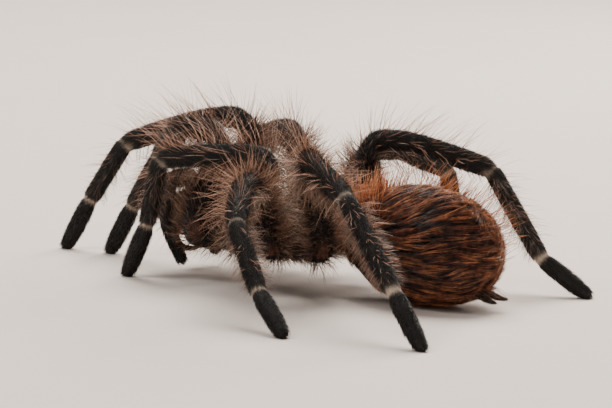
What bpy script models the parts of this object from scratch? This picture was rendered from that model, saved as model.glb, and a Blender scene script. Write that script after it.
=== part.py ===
# Tarantula, a still life-size museum model: head toward -Y, its left side +X, feet on z = 0.
import bmesh
import bpy
import math
from mathutils import Matrix, Vector

for old in list(bpy.data.objects):
    bpy.data.objects.remove(old, do_unlink=True)

mm = 0.001
gap = 0.3  # between neighbouring nodes, mm
bodyShift = (-2.27, -1.04)  # puts the origin under the middle of the leg span, mm

# Body sizes in mm, out to the tips of the dense coat
hipHeight = 8.2
carapaceLength, carapaceWidth = 25.6, 22.6
carapaceRim, carapaceTop = 12.2, 18.4
sternumBottom, sternumTop = 5.6, 11.6
sternumHalf = (4.7, 8.3)
chelicera = {"centre": (2.95, -18.9, 13.2), "half": (2.65, 5.7, 4.9), "droop": 12}
turret = {"centre": (0.0, -9.9, 18.3), "half": (1.75, 1.15, 0.85)}
eyes = [
    (0.55, -0.30, 0.72, 0.36),
    (1.25, -0.55, 0.40, 0.30),
    (1.30, 0.35, 0.42, 0.26),
    (0.80, 0.40, 0.62, 0.22),
]
abdomen = {"centre": (0.0, 30.4, 11.6), "half": (12.2, 17.2, 11.9), "droop": 4}
fangPath = [
    (3.1, -23.3, 7.0, 1.0),
    (3.1, -22.7, 5.7, 0.95),
    (3.0, -20.9, 5.0, 0.75),
    (2.9, -18.7, 5.1, 0.5),
    (2.8, -16.7, 5.8, 0.27),
]
spinneretPath = [
    (2.0, 44.8, 3.3, 1.0),
    (2.3, 46.1, 2.8, 0.95),
    (2.6, 47.3, 2.6, 0.75),
    (2.8, 48.2, 2.7, 0.5),
]

# Where each limb leaves the body: x, y, azimuth and length of coxa with trochanter
hips = {
    "palp": (2.6, -9.8, 36, 9.0),
    "leg1": (5.0, -6.6, 46, 11.5),
    "leg2": (6.0, -2.3, 80, 10.5),
    "leg3": (6.0, 2.2, 106, 9.7),
    "leg4": (4.9, 6.5, 140, 11.0),
}
hipRise = 6  # degrees

# Lengths of femur, patella, tibia, metatarsus and tarsus
lengths = {
    "palp": (12.5, 6.5, 8.0, 8.0),
    "leg1": (22.0, 11.0, 16.0, 14.5, 10.5),
    "leg2": (20.0, 10.5, 14.5, 14.0, 10.5),
    "leg3": (18.0, 9.5, 12.5, 15.0, 10.0),
    "leg4": (22.0, 10.5, 17.0, 21.0, 11.0),
}

# Azimuth from straight ahead, growing outward, and rise of each piece in degrees
pose = {
    "palp_L": ((10, 93), (8, -22), (5, -88), (5, -118)),
    "palp_R": ((10, 92), (10, -22), (8, -86), (5, -115)),
    "leg1_L": ((36, 106), (-6, 0), (-48, -30), (-25, -55), -5),
    "leg2_L": ((10, 116), (8, 0), (3, -10), (-10, -80), -10),
    "leg3_L": ((85, 58), (104, -8), (113, -20), (150, -52), 150),
    "leg4_L": ((84, 66), (120, 0), (138, -12), (164, -50), 164),
    "leg1_R": ((-5, 87), (-14, -10), (-18, -22), (-8, -61), -8),
    "leg2_R": ((33, 80), (36, -10), (38, -22), (38, -66), 38),
    "leg3_R": ((108, 70), (118, -3), (126, -20), (126, -78), 118),
    "leg4_R": ((100, 106), (131, -4), (147, -16), (160, -57), 160),
}

# Radii along each piece, from its inner end to its outer one
girth = {
    "coxa": (1.85, 2.1, 2.3, 2.3),
    "femur": (2.25, 2.55, 2.6, 2.4),
    "shank": (2.35, 2.4, 2.2, 2.3, 2.2),
    "metatarsus": (1.95, 1.85, 1.8),
    "tarsus": (1.75, 1.8, 1.6),
}
palpScale = 0.82
footRadius = 1.5
footLift = 1.25  # height of the centre of a foot's round end
sides = 8

colours = {
    "legs": ((0.022, 0.021, 0.020), 0.6),
    "carapace": ((0.060, 0.036, 0.024), 0.65),
    "abdomen": ((0.115, 0.034, 0.014), 0.6),
    "underside": ((0.045, 0.028, 0.020), 0.7),
    "fangs": ((0.012, 0.006, 0.005), 0.2),
    "eyes": ((0.010, 0.009, 0.010), 0.12),
}


def makeCollection(name):
    made = bpy.data.collections.new(name)
    bpy.context.scene.collection.children.link(made)
    return made


modelCollection = makeCollection("tarantula")
cutterCollection = makeCollection("cutters")


def makeMaterial(slot, nodeName):
    colour, roughness = colours[slot]
    made = bpy.data.materials.new(nodeName)
    made.use_nodes = True
    shader = made.node_tree.nodes["Principled BSDF"]
    shader.inputs["Base Color"].default_value = (*colour, 1.0)
    shader.inputs["Roughness"].default_value = roughness
    shader.inputs["Metallic"].default_value = 0.0
    made.diffuse_color = (*colour, 1.0)
    return made


def addObject(name, mesh, slot, collection=None):
    """Mesh built in mm; moved to the shared frame and scaled to metres."""
    mesh.transform(Matrix.Diagonal((mm, mm, mm, 1)) @ Matrix.Translation((*bodyShift, 0)))
    for face in mesh.polygons:
        face.use_smooth = True
    made = bpy.data.objects.new(name, mesh)
    (collection or modelCollection).objects.link(made)
    if slot:
        mesh.materials.append(makeMaterial(slot, name))
    return made


def direction(azimuth, rise):
    a, e = math.radians(azimuth), math.radians(rise)
    return Vector((math.sin(a) * math.cos(e), -math.cos(a) * math.cos(e), math.sin(e)))


def ringMesh(name, stations, count=sides):
    """Closed skin round stations of (centre, tangent, radius); the rings turn as little as possible."""
    shell = bmesh.new()
    tangent = stations[0][1].normalized()
    across = Vector((0, 0, 1)).cross(tangent)
    if across.length < 0.2:
        across = Vector((1, 0, 0)).cross(tangent)
    across.normalize()
    rings = []
    for centre, newTangent, radius in stations:
        turned = tangent.rotation_difference(newTangent.normalized())
        tangent = newTangent.normalized()
        across = turned @ across
        upward = tangent.cross(across)
        ring = []
        for k in range(count):
            angle = 2 * math.pi * (k + 0.5) / count
            offset = across * math.cos(angle) + upward * math.sin(angle)
            ring.append(shell.verts.new(centre + offset * radius))
        rings.append(ring)
    for first, second in zip(rings, rings[1:]):
        for k in range(count):
            n = (k + 1) % count
            shell.faces.new((first[k], first[n], second[n], second[k]))
    shell.faces.new(list(reversed(rings[0])))
    shell.faces.new(rings[-1])
    bmesh.ops.recalc_face_normals(shell, faces=shell.faces)
    mesh = bpy.data.meshes.new(name)
    shell.to_mesh(mesh)
    shell.free()
    return mesh


def roundEnd(centre, tangent, radius, steps=3):
    """Stations of a ball end of that radius past centre."""
    found = []
    for k in range(1, steps + 1):
        angle = math.radians(84) * k / steps
        found.append((centre + tangent * radius * math.sin(angle), tangent, radius * math.cos(angle)))
    return found


def limbJoints(limb, side):
    """Joint centres from the hip to the end of the foot, on one side."""
    x, y, azimuth, reach = hips[limb]
    points = [Vector((x, y, hipHeight))]
    points.append(points[0] + reach * direction(azimuth, hipRise))
    angles = pose[f"{limb}_{side}"]
    for length, angle in zip(lengths[limb], angles):
        if isinstance(angle, tuple):
            points.append(points[-1] + length * direction(*angle))
        else:
            sink = (points[-1].z - footLift) / length
            rise = -math.degrees(math.asin(min(sink, 0.995)))
            points.append(points[-1] + length * direction(angle, rise))
    if side == "R":
        points = [Vector((-p.x, p.y, p.z)) for p in points]
    return points


def cornerAt(points, index, reach):
    """Bend at a joint as a function of t in 0..1, giving centre and tangent."""
    here = points[index]
    into = (here - points[index - 1]).normalized()
    out = (points[index + 1] - here).normalized()
    start, end = here - into * reach, here + out * reach

    def bend(t):
        centre = start * (1 - t) ** 2 + here * 2 * t * (1 - t) + end * t ** 2
        return centre, (into * (1 - t) + out * t).normalized()

    return bend


def radiusAt(profile, t):
    spot = t * (len(profile) - 1)
    low = min(int(spot), len(profile) - 2)
    return profile[low] + (profile[low + 1] - profile[low]) * (spot - low)


def pieceStations(points, first, last, bends, profile):
    """Stations of one limb piece between two joints, halfway round the bend at each end."""
    path = []
    if first in bends:
        path += [bends[first](t) for t in (0.5, 0.72, 1.0)]
    else:
        path.append((points[first], (points[first + 1] - points[first]).normalized()))
    for inner in range(first + 1, last):
        path += [bends[inner](t) for t in (0.0, 0.5, 1.0)]
    if last in bends:
        path += [bends[last](t) for t in (0.0, 0.28, 0.5)]
    else:
        path.append((points[last], (points[last] - points[last - 1]).normalized()))
    if len(path) < 6:
        spans = [(path[k + 1][0] - path[k][0]).length for k in range(len(path) - 1)]
        longest = spans.index(max(spans))
        (a, ta), (b, tb) = path[longest], path[longest + 1]
        path.insert(longest + 1, ((a + b) / 2, (ta + tb).normalized()))
    path[0] = (path[0][0] + path[0][1] * gap / 2, path[0][1])
    if last in bends:
        path[-1] = (path[-1][0] - path[-1][1] * gap / 2, path[-1][1])
    runs = [0.0]
    for (a, _), (b, _) in zip(path, path[1:]):
        runs.append(runs[-1] + (b - a).length)
    return [(c, t, radiusAt(profile, run / runs[-1])) for (c, t), run in zip(path, runs)]


def buildLimb(limb, side):
    points = limbJoints(limb, side)
    size = palpScale if limb == "palp" else 1.0
    corners = {1: 3.3, 2: 5.4, 3: 1.8, 4: 2.4, 5: 1.5}
    bends = {k: cornerAt(points, k, corners[k] * size) for k in range(1, len(points) - 1)}
    last = len(points) - 1
    pieces = [("coxa", 0, 1), ("femur", 1, 2), ("shank", 2, 4)]
    if limb != "palp":
        pieces.append(("metatarsus", 4, 5))
    pieces.append(("tarsus", last - 1, last))
    for piece, first, end in pieces:
        profile = [radius * size for radius in girth[piece]]
        stations = pieceStations(points, first, end, bends, profile)
        if piece == "tarsus":
            centre, tangent, radius = stations[-1]
            tip = footRadius * size
            stations[-1] = (centre, tangent, tip)
            stations += roundEnd(centre, tangent, tip)
        mesh = ringMesh(f"{limb}_{side}_{piece}", stations)
        made = addObject(f"{limb}_{side}_{piece}", mesh, "legs")
        if piece == "tarsus" and limb != "palp":
            cutBy(made, floorCutter)


def cutBy(target, tool, operation="DIFFERENCE"):
    cut = target.modifiers.new(operation.lower(), "BOOLEAN")
    cut.operation = operation
    cut.solver = "EXACT"
    cut.object = tool


def hideCutter(made):
    made.hide_render = True
    made.display_type = "WIRE"


def shapedBall(name, shape, segments=20, rings=10):
    """Unit ball with every vertex moved by shape, in mm."""
    shell = bmesh.new()
    bmesh.ops.create_uvsphere(shell, u_segments=segments, v_segments=rings, radius=1.0)
    for vert in shell.verts:
        vert.co = shape(vert.co.normalized())
    mesh = bpy.data.meshes.new(name)
    shell.to_mesh(mesh)
    shell.free()
    return mesh


def fuller(value, power):
    return math.copysign(abs(value) ** power, value)


def carapaceShape(v):
    """Pear outline with a raised head, a dip behind it and a flat underside."""
    y = v.y * carapaceLength / 2
    narrow = 0.80 + 0.20 * min(1.0, max(0.0, (y + 11.0) / 10.0))
    x = v.x * carapaceWidth / 2 * narrow
    middle = carapaceRim + 1.3
    if v.z > 0:
        head = 0.75 * math.exp(-((y + 7.5) / 5.0) ** 2)
        dip = 1.0 * math.exp(-((y - 1.8) / 2.2) ** 2 - (x / 2.2) ** 2)
        z = middle + fuller(v.z, 0.85) * (carapaceTop - 0.75 - middle + head) - dip * v.z
    else:
        z = middle + fuller(v.z, 0.55) * (middle - carapaceRim)
    return Vector((x, y, z))


def abdomenShape(v):
    """Egg a little wider behind, drooping to the rear."""
    a, b, c = abdomen["half"]
    swell = 1.0 + 0.05 * v.y
    tilt = math.radians(abdomen["droop"])
    x, y, z = v.x * a * swell, v.y * b, v.z * c * swell
    turned = (x, y * math.cos(tilt) + z * math.sin(tilt), -y * math.sin(tilt) + z * math.cos(tilt))
    return Vector(turned) + Vector(abdomen["centre"])


def cheliceraShape(v, sign):
    a, b, c = chelicera["half"]
    x, y, z = (fuller(v.x, 0.9) * a, fuller(v.y, 0.85) * b, fuller(v.z, 0.9) * c)
    z *= 1.0 - 0.18 * max(0.0, -v.y)
    tilt = math.radians(chelicera["droop"])
    turned = Vector((x, y * math.cos(tilt) - z * math.sin(tilt), y * math.sin(tilt) + z * math.cos(tilt)))
    cx, cy, cz = chelicera["centre"]
    return turned + Vector((sign * cx, cy, cz))


def sternumShape(v):
    a, b = sternumHalf
    middle, half = (sternumBottom + sternumTop) / 2, (sternumTop - sternumBottom) / 2
    flat = 0.45
    return Vector((fuller(v.x, 0.8) * a, fuller(v.y, 0.9) * b, middle + fuller(v.z, flat) * half))


def pathMesh(name, path, sign, count=8):
    """Tapered horn through (x, y, z, radius) points, mirrored by sign."""
    spots = [Vector((sign * x, y, z)) for x, y, z, _ in path]
    stations = []
    for k, (spot, (_, _, _, radius)) in enumerate(zip(spots, path)):
        ahead, behind = spots[min(k + 1, len(spots) - 1)], spots[max(k - 1, 0)]
        stations.append((spot, (ahead - behind).normalized(), radius))
    stations += roundEnd(*stations[-1], steps=2)
    return ringMesh(name, stations, count)


# Floor that trims every foot and the belly to flats at z = 0
floorMesh = bpy.data.meshes.new("floor_cutter")
floorBox = bmesh.new()
bmesh.ops.create_cube(floorBox, size=200.0, matrix=Matrix.Translation((0, 0, -100)))
floorBox.to_mesh(floorMesh)
floorBox.free()
floorCutter = addObject("floor_cutter", floorMesh, None, cutterCollection)
hideCutter(floorCutter)

for side in ("L", "R"):
    for limb in hips:
        buildLimb(limb, side)
    sign = 1 if side == "L" else -1
    name = f"chelicera_{side}"
    addObject(name, shapedBall(name, lambda v: cheliceraShape(v, sign), 16, 10), "carapace")
    name = f"fang_{side}"
    addObject(name, pathMesh(name, fangPath, sign), "fangs")
    name = f"spinneret_{side}"
    addObject(name, pathMesh(name, spinneretPath, sign), "abdomen")

addObject("carapace", shapedBall("carapace", carapaceShape, 28, 14), "carapace")
addObject("sternum", shapedBall("sternum", sternumShape, 16, 10), "underside")
belly = addObject("abdomen", shapedBall("abdomen", abdomenShape, 28, 16), "abdomen")
cutBy(belly, floorCutter)

# Waist between sternum and abdomen
waist = [(Vector((0, y, z)), Vector((0, 1, 0.05)), 1.5) for y, z in ((8.7, 9.2), (10.7, 9.3), (12.9, 9.4))]
addObject("pedicel", ringMesh("pedicel", waist, 10), "underside")


def turretShape(v):
    a, b, c = turret["half"]
    return Vector((v.x * a, v.y * b, fuller(v.z, 0.8) * c)) + Vector(turret["centre"])


# Eye turret with its eight eyes joined on
mound = addObject("eye_turret", shapedBall("eye_turret", turretShape, 16, 8), "eyes")
for index, (x, y, z, radius) in enumerate(eyes):
    for sign in (1, -1):
        spot = Vector(turret["centre"]) + Vector((sign * x, y, z))
        name = f"eye_{index + 1}_{'L' if sign > 0 else 'R'}"
        ball = shapedBall(name, lambda v, s=spot, r=radius: s + v * r, 8, 6)
        made = addObject(name, ball, None, cutterCollection)
        hideCutter(made)
        cutBy(mound, made, "UNION")

bpy.context.view_layer.update()
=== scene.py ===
import math
from functools import partial

import bpy
import numpy as np
from mathutils import Matrix, Vector, kdtree


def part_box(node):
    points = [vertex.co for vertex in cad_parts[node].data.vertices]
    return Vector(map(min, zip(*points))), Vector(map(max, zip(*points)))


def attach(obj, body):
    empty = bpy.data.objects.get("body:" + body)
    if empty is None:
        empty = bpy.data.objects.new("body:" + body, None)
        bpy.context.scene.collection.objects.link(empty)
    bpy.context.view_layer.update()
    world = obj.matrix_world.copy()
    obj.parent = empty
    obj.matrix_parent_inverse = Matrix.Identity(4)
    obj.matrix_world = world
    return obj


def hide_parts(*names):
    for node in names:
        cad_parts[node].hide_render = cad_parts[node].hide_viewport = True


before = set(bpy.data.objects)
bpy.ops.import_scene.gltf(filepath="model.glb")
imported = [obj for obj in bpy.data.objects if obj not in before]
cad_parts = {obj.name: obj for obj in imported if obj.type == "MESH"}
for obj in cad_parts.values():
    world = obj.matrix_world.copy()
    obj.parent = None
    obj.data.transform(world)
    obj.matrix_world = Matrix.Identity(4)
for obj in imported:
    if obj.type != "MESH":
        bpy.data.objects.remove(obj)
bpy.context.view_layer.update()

# everything is shaped in millimetres in the frame's axes, and scaled to metres as a piece is made
mm = 0.001

# the trunk's own axis stands over the middle of the sternum, and the shapes below are given from it
sternumBox = np.array(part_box("sternum")) / mm
bodyShift = Vector((*sternumBox.mean(axis=0)[:2], 0))


def linear(hexColour):
    found = []
    for k in (0, 2, 4):
        value = int(hexColour[k:k + 2], 16) / 255
        found.append(value / 12.92 if value <= 0.04045 else ((value + 0.055) / 1.055) ** 2.4)
    return (*found, 1.0)


def addNode(tree, kind, inputs=(), **settings):
    # a tuple fills the sockets in order, a dictionary says which, and a node stands for its first output
    made = tree.nodes.new(kind)
    for name, value in settings.items():
        setattr(made, name, value)
    sockets = inputs if isinstance(inputs, dict) else dict(enumerate(inputs))
    for key, value in sockets.items():
        if isinstance(value, bpy.types.Node):
            value = value.outputs[0]
        if isinstance(value, bpy.types.NodeSocket):
            tree.links.new(value, made.inputs[key])
        else:
            made.inputs[key].default_value = value
    return made


def makeMesh(name, verts, faces):
    mesh = bpy.data.meshes.new(name)
    mesh.from_pydata(verts, [], faces)
    mesh.shade_smooth()
    return mesh


def joined(shapes):
    # (points, faces) shapes as one list of points and one of faces
    verts, faces = [], []
    for points, sides in shapes:
        base = len(verts)
        verts.extend(np.asarray(points).tolist())
        faces.extend(tuple(base + k for k in side) for side in sides)
    return verts, faces


def makeObject(name, data):
    made = bpy.data.objects.new(name, data)
    bpy.context.scene.collection.objects.link(made)
    return made


def evaluatedMesh(source):
    graph = bpy.context.evaluated_depsgraph_get()
    return bpy.data.meshes.new_from_object(source.evaluated_get(graph))


def finishPiece(name, mesh, material, replaced=()):
    mesh.transform(Matrix.Scale(mm, 4))
    mesh.materials.clear()
    mesh.materials.append(material)
    made = makeObject(name, mesh)
    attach(made, "root")
    if replaced:
        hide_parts(*replaced)


def unit(vectors):
    return vectors / np.maximum(np.linalg.norm(vectors, axis=-1, keepdims=True), 1e-9)


def dot(a, b):
    return np.einsum("ij,ij->i", a, b)


def smoothStep(values, low, high):
    t = np.clip((values - low) / (high - low), 0, 1)
    return t * t * (3 - 2 * t)


def fallOff(values, start, end):
    # 1 before start and 0 past end
    return smoothStep(-values, -end, -start)


def bump(values, centre, width):
    return np.exp(-((values - centre) / width) ** 2)


# limbs: the same joints as the solids
limbPlan = {
    "hipHeight": 8.2,
    "hipRise": 6,  # degrees that a coxa climbs
    "footLift": 1.25,  # a foot's end over the floor
    "steepest": 0.995,  # sine of the steepest foot
    "palpScale": 0.82,
    "corners": {1: 3.3, 2: 5.4, 3: 1.8, 4: 2.4, 5: 1.5},  # reach of each bend along its pieces
    "cornerPoints": 11,
    "step": 0.5,  # between samples along a limb
    "sides": 20,
    "innerRun": 2.2,  # how far a coxa goes on into the trunk
    "footRun": 1.05,  # how far a foot goes on past its last joint
    "kneeSpan": 8,  # samples either side of the knee that say which way it points
}

# x, y, azimuth and length of coxa with trochanter
hips = {
    "palp": (2.6, -9.8, 36, 9.0),
    "leg1": (5.0, -6.6, 46, 11.5),
    "leg2": (6.0, -2.3, 80, 10.5),
    "leg3": (6.0, 2.2, 106, 9.7),
    "leg4": (4.9, 6.5, 140, 11.0),
}

# femur, patella, tibia, metatarsus, tarsus
lengths = {
    "palp": (12.5, 6.5, 8.0, 8.0),
    "leg1": (22.0, 11.0, 16.0, 14.5, 10.5),
    "leg2": (20.0, 10.5, 14.5, 14.0, 10.5),
    "leg3": (18.0, 9.5, 12.5, 15.0, 10.0),
    "leg4": (22.0, 10.5, 17.0, 21.0, 11.0),
}

# azimuth from straight ahead, growing outward, and rise of each piece in degrees
pose = {
    "palp_L": ((10, 93), (8, -22), (5, -88), (5, -118)),
    "palp_R": ((10, 92), (10, -22), (8, -86), (5, -115)),
    "leg1_L": ((36, 106), (-6, 0), (-48, -30), (-25, -55), -5),
    "leg2_L": ((10, 116), (8, 0), (3, -10), (-10, -80), -10),
    "leg3_L": ((85, 58), (104, -8), (113, -20), (150, -52), 150),
    "leg4_L": ((84, 66), (120, 0), (138, -12), (164, -50), 164),
    "leg1_R": ((-5, 87), (-14, -10), (-18, -22), (-8, -61), -8),
    "leg2_R": ((33, 80), (36, -10), (38, -22), (38, -66), 38),
    "leg3_R": ((108, 70), (118, -3), (126, -20), (126, -78), 118),
    "leg4_R": ((100, 106), (131, -4), (147, -16), (160, -57), 160),
}

# radius of the bare leg: joint count from the hip (whole numbers are joints) and mm
legGirth = (
    (-0.3, 1.5), (0.0, 1.55), (0.5, 1.8), (0.93, 1.72), (1.03, 1.55), (1.12, 1.85), (1.5, 2.15),
    (1.88, 2.05), (2.0, 1.75), (2.14, 1.98), (2.5, 2.0), (2.9, 1.9), (3.0, 1.72), (3.1, 1.88),
    (3.45, 1.98), (3.85, 1.86), (3.96, 1.7), (4.01, 1.42), (4.06, 1.62), (4.5, 1.68), (4.9, 1.62),
    (4.965, 1.45), (5.0, 1.16), (5.04, 1.4), (5.3, 1.6), (5.75, 1.56), (6.0, 1.3), (6.2, 1.15),
)
palpGirth = (
    (-0.3, 1.3), (0.0, 1.35), (0.5, 1.55), (0.93, 1.5), (1.03, 1.3), (1.15, 1.5), (1.5, 1.7),
    (1.88, 1.6), (2.0, 1.4), (2.15, 1.58), (2.9, 1.5), (3.0, 1.36), (3.12, 1.5), (3.6, 1.5),
    (3.93, 1.36), (4.0, 1.12), (4.08, 1.28), (4.5, 1.36), (5.0, 1.12), (5.3, 1.1),
)


def direction(azimuth, rise):
    a, e = math.radians(azimuth), math.radians(rise)
    return Vector((math.sin(a) * math.cos(e), -math.cos(a) * math.cos(e), math.sin(e)))


def limbJoints(limb, side):
    x, y, azimuth, reach = hips[limb]
    points = [Vector((x, y, limbPlan["hipHeight"]))]
    points.append(points[0] + reach * direction(azimuth, limbPlan["hipRise"]))
    for length, angle in zip(lengths[limb], pose[f"{limb}_{side}"]):
        if isinstance(angle, tuple):
            points.append(points[-1] + length * direction(*angle))
        else:
            sink = (points[-1].z - limbPlan["footLift"]) / length
            rise = -math.degrees(math.asin(min(sink, limbPlan["steepest"])))
            points.append(points[-1] + length * direction(angle, rise))
    if side == "R":
        points = [Vector((-p.x, p.y, p.z)) for p in points]
    return [p + bodyShift for p in points]


def evenSamples(line, step, least):
    # the run at each point of the line, then the run and the place of each even sample
    runs = np.concatenate([[0], np.cumsum(np.linalg.norm(np.diff(line, axis=0), axis=1))])
    run = np.linspace(0, runs[-1], int(runs[-1] / step) + least)
    place = np.stack([np.interp(run, runs, line[:, k]) for k in range(3)], axis=1)
    return runs, run, place


def limbPath(limb, side):
    # samples along the centreline: place, tangent, the back (knee side) direction, run, joint count, radius
    points = limbJoints(limb, side)
    size = limbPlan["palpScale"] if limb == "palp" else 1.0
    cornerPoints = limbPlan["cornerPoints"]
    line = [points[0]]
    middles = [0]
    for k in range(1, len(points) - 1):
        into = (points[k] - points[k - 1]).normalized()
        out = (points[k + 1] - points[k]).normalized()
        reach = limbPlan["corners"][k] * size
        start, end = points[k] - into * reach, points[k] + out * reach
        for t in np.linspace(0, 1, cornerPoints):
            line.append(start * (1 - t) ** 2 + points[k] * 2 * t * (1 - t) + end * t ** 2)
        middles.append(len(line) - 1 - cornerPoints // 2)
    line.append(points[-1] + (points[-1] - points[-2]).normalized() * limbPlan["footRun"])
    line[0] = points[0] - (points[1] - points[0]).normalized() * limbPlan["innerRun"]
    runs, run, place = evenSamples(np.array(line), limbPlan["step"], 1)
    tangent = unit(np.gradient(place, axis=0))
    joints = [limbPlan["innerRun"], *(runs[k] for k in middles[1:]), runs[-1] - limbPlan["footRun"]]
    last = len(joints) - 1
    count = np.interp(run, [0, *joints, runs[-1]], [-0.3, *range(last + 1), last + 0.2])
    knee = int(np.argmin(np.abs(count - 2)))
    span = limbPlan["kneeSpan"]
    back = np.zeros_like(place)
    back[knee] = -unit(tangent[knee + span] - tangent[knee - span])
    for samples, step in ((range(knee + 1, len(run)), 1), (range(knee - 1, -1, -1), -1)):
        for k in samples:
            carried = back[k - step] - tangent[k] * np.dot(tangent[k], back[k - step])
            back[k] = carried / np.linalg.norm(carried)
    girth = np.array(palpGirth if limb == "palp" else legGirth)
    radius = np.interp(count, girth[:, 0], girth[:, 1])
    return {"place": place, "tangent": tangent, "back": back, "run": run, "count": count, "radius": radius}


def limbCoordinates(path, points):
    # run, joint count, angle round the limb from its back (0 to pi either way), and the limb's direction
    batch = 4000
    nearest = np.empty(len(points), int)
    for first in range(0, len(points), batch):
        away = np.linalg.norm(points[first:first + batch, None] - path["place"][None], axis=2)
        nearest[first:first + batch] = away.argmin(axis=1)
    tangent, back = path["tangent"][nearest], path["back"][nearest]
    offset = points - path["place"][nearest]
    run = path["run"][nearest] + dot(offset, tangent)
    count = np.interp(run, path["run"], path["count"])
    angle = np.arctan2(dot(offset, np.cross(tangent, back)), dot(offset, back))
    return run, count, angle, tangent


def tube(place, tangent, back, radius, sides, capBulge=0.4):
    beside = np.cross(tangent, back)
    angles = np.arange(sides) * 2 * np.pi / sides
    ring = np.cos(angles)[None, :, None] * back[:, None] + np.sin(angles)[None, :, None] * beside[:, None]
    verts = (place[:, None] + ring * radius[:, None, None]).reshape(-1, 3)
    rows = len(place)
    faces = []
    for i in range(rows - 1):
        for k in range(sides):
            n = (k + 1) % sides
            faces.append((i * sides + k, i * sides + n, (i + 1) * sides + n, (i + 1) * sides + k))
    for row, turn in ((0, -1), (rows - 1, 1)):
        verts = np.vstack([verts, place[row] + turn * tangent[row] * radius[row] * capBulge])
        tip = len(verts) - 1
        for k in range(sides):
            pair = (row * sides + k, row * sides + (k + 1) % sides)
            faces.append((*pair[::turn], tip))
    return verts, faces


def hornTube(path, sign, sides=14, step=0.25, smoothing=6):
    # tapered horn through (x, y, z, radius) points
    spots = np.array([(sign * x, y, z) for x, y, z, _ in path]) + np.array(bodyShift)
    runs, run, place = evenSamples(spots, step, 2)
    for _ in range(smoothing):
        place[1:-1] = (place[:-2] + place[1:-1] * 2 + place[2:]) / 4
    radius = np.interp(run, runs, [r for *_, r in path])
    tangent = unit(np.gradient(place, axis=0))
    back = unit(np.cross(tangent, (1.0, 0.0, 0.0)))
    return tube(place, tangent, back, radius, sides)


def ball(shape, segments, rows):
    # unit sphere with every point moved by shape
    verts = [(0.0, 0.0, 1.0)]
    for i in range(1, rows):
        polar = math.pi * i / rows
        for k in range(segments):
            turn = 2 * math.pi * k / segments
            ring = math.sin(polar)
            verts.append((ring * math.cos(turn), ring * math.sin(turn), math.cos(polar)))
    verts.append((0.0, 0.0, -1.0))
    faces = []
    for k in range(segments):
        n = (k + 1) % segments
        faces.append((0, 1 + k, 1 + n))
        for i in range(rows - 2):
            a, b = 1 + i * segments, 1 + (i + 1) * segments
            faces.append((a + k, b + k, b + n, a + n))
        low = 1 + (rows - 2) * segments
        faces.append((low + k, len(verts) - 1, low + n))
    return np.array([shape(Vector(v)) for v in verts]) + np.array(bodyShift), faces


def fuller(value, power):
    return math.copysign(abs(value) ** power, value)


def pitched(x, y, z, degrees):
    # turned about X, its rear end down
    c, s = math.cos(math.radians(degrees)), math.sin(math.radians(degrees))
    return Vector((x, y * c + z * s, -y * s + z * c))


# trunk: close to the solids' shapes, each less the depth of its coat
carapacePlan = {
    "length": 25.6,
    "width": 22.6,
    "rim": 12.2,
    "rimHeight": 1.3,  # from the rim's foot to its widest ring
    "underDepth": 1.1,
    "top": 18.4,
    "coat": 0.65,
    "frontWidth": 0.80,  # share of the width at the jaws
    "widening": 0.20,  # share gained on the way back
    "widenFrom": -11.0,
    "widenRun": 10.0,
    "headAt": -7.5,
    "headRise": 0.75,
    "headRun": 5.0,
    "dipAt": 1.8,
    "dipDepth": 1.15,
    "dipHalf": (1.9, 1.7),
    "grooveCount": 8,
    "grooveDepth": 0.28,
    "grooveAt": 6.0,  # out from the dip
    "grooveRun": 3.0,
}


def carapaceShape(v):
    plan = carapacePlan
    y = v.y * (plan["length"] / 2 - plan["coat"])
    back = min(1.0, max(0.0, (y - plan["widenFrom"]) / plan["widenRun"]))
    x = v.x * (plan["width"] / 2 - plan["coat"]) * (plan["frontWidth"] + plan["widening"] * back)
    middle = plan["rim"] + plan["rimHeight"]
    if v.z < 0:
        return Vector((x, y, middle + fuller(v.z, 0.55) * plan["underDepth"]))
    head = plan["headRise"] * math.exp(-((y - plan["headAt"]) / plan["headRun"]) ** 2)
    beyond = y - plan["dipAt"]
    halfX, halfY = plan["dipHalf"]
    dip = plan["dipDepth"] * math.exp(-(beyond / halfY) ** 2 - (x / halfX) ** 2)
    ring = math.exp(-((math.hypot(x, beyond) - plan["grooveAt"]) / plan["grooveRun"]) ** 2)
    grooves = plan["grooveDepth"] * math.cos(math.atan2(x, beyond) * plan["grooveCount"]) * ring
    rise = plan["top"] - plan["headRise"] - plan["coat"] - middle + head
    return Vector((x, y, middle + fuller(v.z, 0.85) * rise - (dip + grooves) * v.z))


abdomenPlan = {
    "centre": (0, 30.4, 11.6),
    "half": (12.2, 17.2, 11.9),
    "droop": 4,
    "coat": 1.15,
    "swell": 0.05,  # share by which the rear is fuller than the middle
    "folds": 0.02,  # depth of the soft waves in its sides, as a share of its width
}


def abdomenShape(v):
    plan = abdomenPlan
    a, b, c = (half - plan["coat"] for half in plan["half"])
    swell = 1.0 + plan["swell"] * v.y
    fold = 1.0 + plan["folds"] * math.sin(5 * v.y + 1.0) * (1 - v.z * v.z)
    turned = pitched(v.x * a * swell * fold, v.y * b, v.z * c * swell, plan["droop"])
    return turned + Vector(plan["centre"])


jawPlan = {
    "centre": (2.95, -18.9, 13.2),
    "half": (2.65, 5.7, 4.9),
    "droop": 12,
    "coat": 0.45,
    "taper": 0.18,  # share of its height lost at the front
}


def jawShape(v, sign):
    a, b, c = (half - jawPlan["coat"] for half in jawPlan["half"])
    z = fuller(v.z, 0.9) * c * (1.0 - jawPlan["taper"] * max(0.0, -v.y))
    cx, cy, cz = jawPlan["centre"]
    turned = pitched(fuller(v.x, 0.9) * a, fuller(v.y, 0.85) * b, z, -jawPlan["droop"])
    return turned + Vector((sign * cx, cy, cz))


def ellipsoid(centre, half, power=1.0):
    def shape(v):
        return Vector(fuller(v[k], power) * half[k] + centre[k] for k in range(3))

    return shape


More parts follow.
